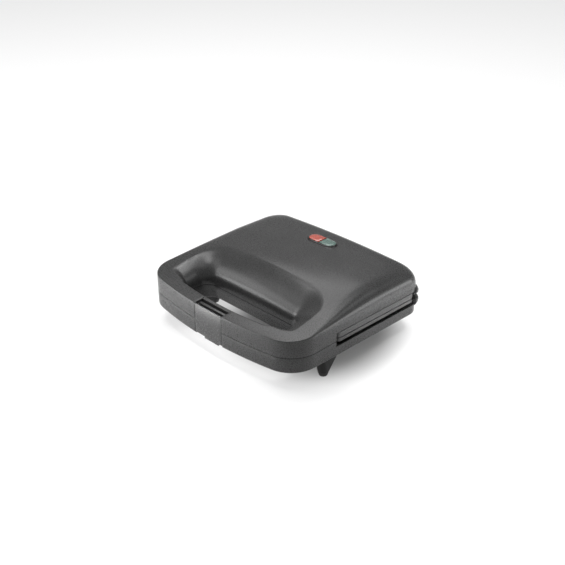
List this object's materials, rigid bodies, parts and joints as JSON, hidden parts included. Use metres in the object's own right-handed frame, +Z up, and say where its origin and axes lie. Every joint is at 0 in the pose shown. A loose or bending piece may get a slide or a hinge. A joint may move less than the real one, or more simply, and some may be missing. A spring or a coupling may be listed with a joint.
{
  "type": "sandwich toaster",
  "caption": "Electric sandwich toaster with a rear-hinged domed lid, a front snap latch, a handle with a finger opening and die-cast plates with triangular pockets",
  "frame": {"origin": "on the table, under the middle of the footprint", "axes": "+X across the hinge, to the right seen from the front; +Y from the handle to the hinge; +Z up"},
  "size_m": [0.23, 0.221, 0.0814],
  "materials": {
    "shell": "moulded, fine sandblast grain",
    "latch": "moulded, satin",
    "foot": "moulded rubber",
    "plate": "die-cast, dark non-stick coat",
    "element": "drawn tube",
    "shield": "pressed sheet",
    "hinge": "pressed steel, dark coat",
    "hardware": "zinc plated",
    "terminal": "moulded",
    "wire": "silicone insulation",
    "red_lens": "moulded, translucent",
    "green_lens": "moulded, translucent",
    "board": "laminate",
    "red_lamp": "moulded",
    "green_lamp": "moulded"
  },
  "bodies": {
    "base": {"lower_housing": "shell", "front_foot_left": "foot", "front_foot_right": "foot", "rear_foot_left": "foot", "rear_foot_right": "foot", "lower_grip_cover": "shell", "lower_plate": "plate", "lower_heater": "element", "lower_reflector": "shield", "lower_plate_screws": "hardware", "thermostat": "shield", "thermal_fuse": "shield", "terminal_block": "terminal", "cord_bush": "foot", "base_wiring": "wire", "hinge_bracket_left": "hinge", "hinge_bracket_right": "hinge", "hinge_pin_left": "hardware", "hinge_pin_right": "hardware", "hinge_screws_base": "hardware"},
    "lid": {"upper_housing": "shell", "upper_grip_cover": "shell", "upper_plate": "plate", "upper_heater": "element", "upper_reflector": "shield", "upper_plate_screws": "hardware", "hinge_arm_left": "hinge", "hinge_arm_right": "hinge", "hinge_screws_lid": "hardware", "red_lens": "red_lens", "green_lens": "green_lens", "lamp_board": "board", "red_lamp": "red_lamp", "green_lamp": "green_lamp", "lid_wiring": "wire", "latch_pin": "hardware"},
    "latch": {"latch_clip": "latch"}
  },
  "joints": [
    {"name": "lid_hinge", "type": "hinge", "parent": "base", "child": "lid", "pos_m": [0, 0.1055, 0.0425], "axis": [-1, 0, 0], "range_deg": [0, 100]},
    {"name": "latch_pivot", "type": "hinge", "parent": "lid", "child": "latch", "pos_m": [0, -0.1035, 0.055], "axis": [-1, 0, 0], "range_deg": [0, 80]}
  ]
}
